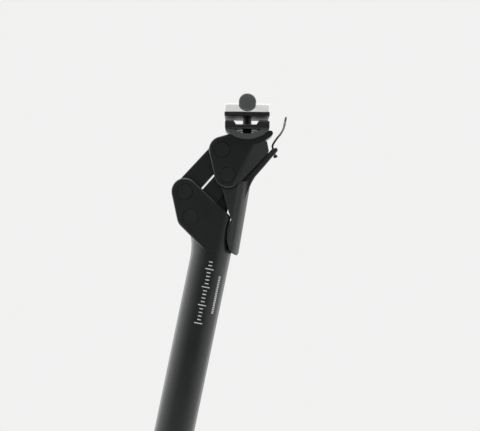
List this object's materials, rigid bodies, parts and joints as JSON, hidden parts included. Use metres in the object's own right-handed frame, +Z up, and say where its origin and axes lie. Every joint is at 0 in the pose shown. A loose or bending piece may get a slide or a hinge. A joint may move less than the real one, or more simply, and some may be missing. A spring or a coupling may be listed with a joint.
{
  "type": "suspension seatpost",
  "caption": "Straight round seatpost with a parallelogram linkage, an inner spring column, a rear fender and a rocking two-rail saddle clamp.",
  "frame": {"origin": "centre of the tube's lower end", "axes": "+Z up along the tube's axis, +X to the rear of the bicycle, +Y to its right-hand side"},
  "size_m": [0.0676, 0.0537, 0.3672],
  "materials": {
    "black_anodised": "satin",
    "black_satin": "satin",
    "black_steel": "satin",
    "polished_alloy": "polished",
    "bright_steel": "satin",
    "spring_steel": "satin",
    "bronze": "satin",
    "rubber": "matte",
    "plastic": "matte"
  },
  "bodies": {
    "post": {"post_body": "black_anodised", "pivot_axle_1": "black_satin", "pivot_axle_2": "black_satin", "axle_screw_1": "black_satin", "axle_screw_2": "black_satin", "main_spring": "spring_steel", "inner_spring": "spring_steel"},
    "upper_link": {"upper_link": "black_anodised", "link_bush_3": "bronze", "link_bush_4": "bronze", "link_bush_7": "bronze", "link_bush_8": "bronze"},
    "lower_link": {"lower_link": "black_anodised", "link_bush_1": "bronze", "link_bush_2": "bronze", "link_bush_5": "bronze", "link_bush_6": "bronze", "roller_pin": "bright_steel"},
    "head": {"head": "black_anodised", "pivot_axle_3": "black_satin", "pivot_axle_4": "black_satin", "axle_screw_3": "black_satin", "axle_screw_4": "black_satin", "magnet_keeper": "bright_steel", "fender": "rubber", "fender_magnet": "bright_steel", "rail_hook": "black_steel", "hook_knob": "black_steel"},
    "roller": {"roller": "bright_steel"},
    "plunger": {"plunger": "bright_steel"},
    "spring_seat": {"spring_seat": "plastic", "bump_stop": "rubber"},
    "preload_plug": {"preload_plug": "black_anodised", "plug_oring": "rubber"},
    "rocker": {"lower_clamp": "black_satin", "bolt_washer": "bright_steel"},
    "top_plate": {"upper_clamp": "polished_alloy", "barrel_nut": "black_steel"},
    "clamp_bolt": {"clamp_bolt": "black_steel"}
  },
  "joints": [
    {"name": "link_swing", "type": "hinge", "parent": "post", "child": "upper_link", "pos_m": [-0.02581, 0, 0.29388], "axis": [0, 1, 0], "range_deg": [0, 50], "stiffness_Nm_per_rad": 22, "springref_deg": -20.05},
    {"name": "lower_link_swing", "type": "hinge", "parent": "post", "child": "lower_link", "pos_m": [-0.0187, 0, 0.278], "axis": [0, 1, 0], "range_deg": [0, 50]},
    {"name": "head_level", "type": "hinge", "parent": "upper_link", "child": "head", "pos_m": [-0.00675, 0, 0.32688], "axis": [0, 1, 0], "range_deg": [-50, 0]},
    {"name": "roller_spin", "type": "hinge", "parent": "lower_link", "child": "roller", "pos_m": [-0.00085, 0, 0.28633], "axis": [0, 1, 0], "continuous": true},
    {"name": "plunger_slide", "type": "slide", "parent": "post", "child": "plunger", "axis": [0, 0, 1], "range_m": [-0.01666, 0], "deforming": ["main_spring", "inner_spring"]},
    {"name": "spring_seat_rise", "type": "slide", "parent": "post", "child": "spring_seat", "axis": [0, 0, 1], "range_m": [0, 0.004]},
    {"name": "preload_turn", "type": "hinge", "parent": "spring_seat", "child": "preload_plug", "pos_m": [0, 0, 0.01], "axis": [0, 0, 1], "range_deg": [0, 720]},
    {"name": "saddle_tilt", "type": "hinge", "parent": "head", "child": "rocker", "pos_m": [0.0044, 0, 0.3573], "axis": [0, 1, 0], "range_deg": [-6, 6]},
    {"name": "plate_lift", "type": "slide", "parent": "rocker", "child": "top_plate", "axis": [-0.1925, 0, 0.9813], "range_m": [0, 0.006]},
    {"name": "bolt_turn", "type": "hinge", "parent": "rocker", "child": "clamp_bolt", "pos_m": [0.00979, 0, 0.32982], "axis": [-0.1925, 0, 0.9813], "range_deg": [-2160, 0]}
  ],
  "couplings": [
    {"joint": "lower_link_swing", "follows": "link_swing", "ratio": 1},
    {"joint": "head_level", "follows": "link_swing", "ratio": -1},
    {"joint": "plunger_slide", "follows": "link_swing", "m_per_rad": -0.019081},
    {"joint": "preload_turn", "follows": "spring_seat_rise", "rad_per_m": 3141.6},
    {"joint": "bolt_turn", "follows": "plate_lift", "rad_per_m": -6283.2}
  ]
}
